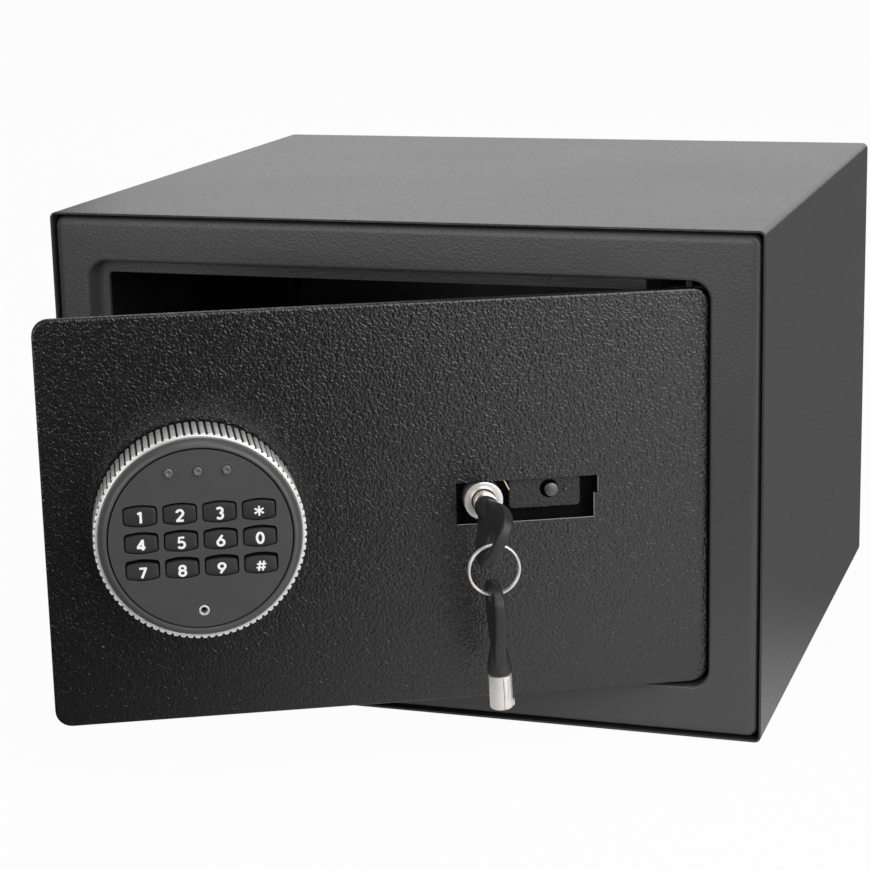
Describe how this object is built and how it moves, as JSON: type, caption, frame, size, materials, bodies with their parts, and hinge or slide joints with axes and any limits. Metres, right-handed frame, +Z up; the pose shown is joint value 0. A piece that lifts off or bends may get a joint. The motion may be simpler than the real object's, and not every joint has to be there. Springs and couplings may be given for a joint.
{
  "type": "electronic home safe",
  "caption": "Small steel safe with a hinged door, a keypad set in its turning knob, sliding bolts behind the door and an override lock with a key and a spare on a ring.",
  "frame": {"origin": "middle of the cabinet's underside", "axes": "+X to the right seen from the front, +Y towards the back, +Z up"},
  "size_m": [0.35, 0.4632, 0.24],
  "materials": {
    "cabinet_paint": "satin, fine grain",
    "door_paint": "satin, coarse grain",
    "sheet_paint": "satin",
    "zinc_steel": "zinc plated",
    "chrome": "polished",
    "nickel": "nickel plated",
    "knob_finish": "black lacquer, satin",
    "keypad_plastic": "fine matt",
    "key_plastic": "satin",
    "black_plastic": "satin",
    "red_plastic": "gloss",
    "led_lens": "smoked clear moulding",
    "circuit_board": "solder mask",
    "cell_wrap": "printed sleeve, plain",
    "floor_felt": "felt"
  },
  "bodies": {
    "cabinet": {"body_shell": "cabinet_paint", "front_frame": "cabinet_paint", "back_panel": "cabinet_paint", "hinge_bracket_top": "sheet_paint", "hinge_bracket_bottom": "sheet_paint", "hinge_pin_top": "sheet_paint", "hinge_pin_bottom": "sheet_paint", "floor_mat": "floor_felt"},
    "door": {"door_leaf": "door_paint", "door_box": "sheet_paint", "door_back_cover": "sheet_paint", "hinge_block_top": "sheet_paint", "hinge_block_bottom": "sheet_paint", "battery_tray": "black_plastic", "battery_1": "cell_wrap", "battery_2": "cell_wrap", "battery_3": "cell_wrap", "battery_4": "cell_wrap", "mechanism_strap": "zinc_steel", "solenoid": "zinc_steel", "knob_collar": "black_plastic", "keypad_housing": "black_plastic", "keypad_board": "circuit_board", "keypad_face": "keypad_plastic", "led_left": "led_lens", "led_middle": "led_lens", "led_right": "led_lens", "power_jack": "chrome", "stem_nut": "zinc_steel", "control_board": "circuit_board", "lock_bracket": "door_paint", "lock_body": "chrome", "lock_nut": "zinc_steel"},
    "knob": {"knob_grip": "chrome", "knob_shell": "knob_finish", "knob_spindle": "zinc_steel"},
    "bolt_slide": {"slide_plate": "zinc_steel", "bolt_lower": "chrome", "bolt_upper": "chrome"},
    "blocker": {"blocker_pin": "zinc_steel"},
    "lid": {"battery_lid": "black_plastic"},
    "reset": {"reset_button": "red_plastic"},
    "plug": {"lock_plug": "nickel"},
    "key": {"key_tube": "nickel", "key_bow": "black_plastic"},
    "ring": {"key_ring": "nickel"},
    "spare_key": {"spare_key_tube": "nickel", "spare_key_bow": "black_plastic"},
    "button_1": {"key_1": "key_plastic"},
    "button_2": {"key_2": "key_plastic"},
    "button_3": {"key_3": "key_plastic"},
    "button_star": {"key_star": "key_plastic"},
    "button_4": {"key_4": "key_plastic"},
    "button_5": {"key_5": "key_plastic"},
    "button_6": {"key_6": "key_plastic"},
    "button_0": {"key_0": "key_plastic"},
    "button_7": {"key_7": "key_plastic"},
    "button_8": {"key_8": "key_plastic"},
    "button_9": {"key_9": "key_plastic"},
    "button_hash": {"key_hash": "key_plastic"}
  },
  "joints": [
    {"name": "door_swing", "type": "hinge", "parent": "cabinet", "child": "door", "pos_m": [0.1389, -0.152, 0.12], "axis": [0, 0, 1], "range_deg": [-26.4, 75]},
    {"name": "knob_turn", "type": "hinge", "parent": "door", "child": "knob", "pos_m": [-0.05437, -0.27027, 0.1192], "axis": [0.4446, -0.8957, 0], "range_deg": [0, 90]},
    {"name": "bolt_throw", "type": "slide", "parent": "door", "child": "bolt_slide", "axis": [-0.8957, -0.4446, 0], "range_m": [0, 0.014]},
    {"name": "blocker_drop", "type": "slide", "parent": "door", "child": "blocker", "axis": [0, 0, -1], "range_m": [0, 0.004], "stiffness_N_per_m": 20, "springref_m": -0.004},
    {"name": "battery_lid_swing", "type": "hinge", "parent": "door", "child": "lid", "pos_m": [0.08248, -0.14517, 0.0409], "axis": [-0.8957, -0.4446, 0], "range_deg": [0, 100]},
    {"name": "reset_press", "type": "slide", "parent": "door", "child": "reset", "axis": [0.4446, -0.8957, 0], "range_m": [0, 0.001], "stiffness_N_per_m": 300},
    {"name": "plug_turn", "type": "hinge", "parent": "door", "child": "plug", "pos_m": [0.05513, -0.20028, 0.12], "axis": [0.4446, -0.8957, 0], "range_deg": [0, 90]},
    {"name": "key_pull", "type": "slide", "parent": "plug", "child": "key", "axis": [0.4446, -0.8957, 0], "range_m": [0, 0.03]},
    {"name": "ring_swing", "type": "hinge", "parent": "key", "child": "ring", "pos_m": [0.06969, -0.23415, 0.11004], "axis": [-0.8957, -0.4446, 0], "range_deg": [-10, 40]},
    {"name": "spare_key_swing", "type": "hinge", "parent": "ring", "child": "spare_key", "pos_m": [0.06969, -0.23415, 0.08768], "axis": [-0.8957, -0.4446, 0], "range_deg": [-10, 25]},
    {"name": "press_1", "type": "slide", "parent": "door", "child": "button_1", "axis": [-0.4446, 0.8957, 0], "range_m": [0, 0.0008], "stiffness_N_per_m": 300},
    {"name": "press_2", "type": "slide", "parent": "door", "child": "button_2", "axis": [-0.4446, 0.8957, 0], "range_m": [0, 0.0008], "stiffness_N_per_m": 300},
    {"name": "press_3", "type": "slide", "parent": "door", "child": "button_3", "axis": [-0.4446, 0.8957, 0], "range_m": [0, 0.0008], "stiffness_N_per_m": 300},
    {"name": "press_star", "type": "slide", "parent": "door", "child": "button_star", "axis": [-0.4446, 0.8957, 0], "range_m": [0, 0.0008], "stiffness_N_per_m": 300},
    {"name": "press_4", "type": "slide", "parent": "door", "child": "button_4", "axis": [-0.4446, 0.8957, 0], "range_m": [0, 0.0008], "stiffness_N_per_m": 300},
    {"name": "press_5", "type": "slide", "parent": "door", "child": "button_5", "axis": [-0.4446, 0.8957, 0], "range_m": [0, 0.0008], "stiffness_N_per_m": 300},
    {"name": "press_6", "type": "slide", "parent": "door", "child": "button_6", "axis": [-0.4446, 0.8957, 0], "range_m": [0, 0.0008], "stiffness_N_per_m": 300},
    {"name": "press_0", "type": "slide", "parent": "door", "child": "button_0", "axis": [-0.4446, 0.8957, 0], "range_m": [0, 0.0008], "stiffness_N_per_m": 300},
    {"name": "press_7", "type": "slide", "parent": "door", "child": "button_7", "axis": [-0.4446, 0.8957, 0], "range_m": [0, 0.0008], "stiffness_N_per_m": 300},
    {"name": "press_8", "type": "slide", "parent": "door", "child": "button_8", "axis": [-0.4446, 0.8957, 0], "range_m": [0, 0.0008], "stiffness_N_per_m": 300},
    {"name": "press_9", "type": "slide", "parent": "door", "child": "button_9", "axis": [-0.4446, 0.8957, 0], "range_m": [0, 0.0008], "stiffness_N_per_m": 300},
    {"name": "press_hash", "type": "slide", "parent": "door", "child": "button_hash", "axis": [-0.4446, 0.8957, 0], "range_m": [0, 0.0008], "stiffness_N_per_m": 300}
  ],
  "couplings": [
    {"joint": "bolt_throw", "follows": "knob_turn", "m_per_rad": 0.0089126}
  ]
}
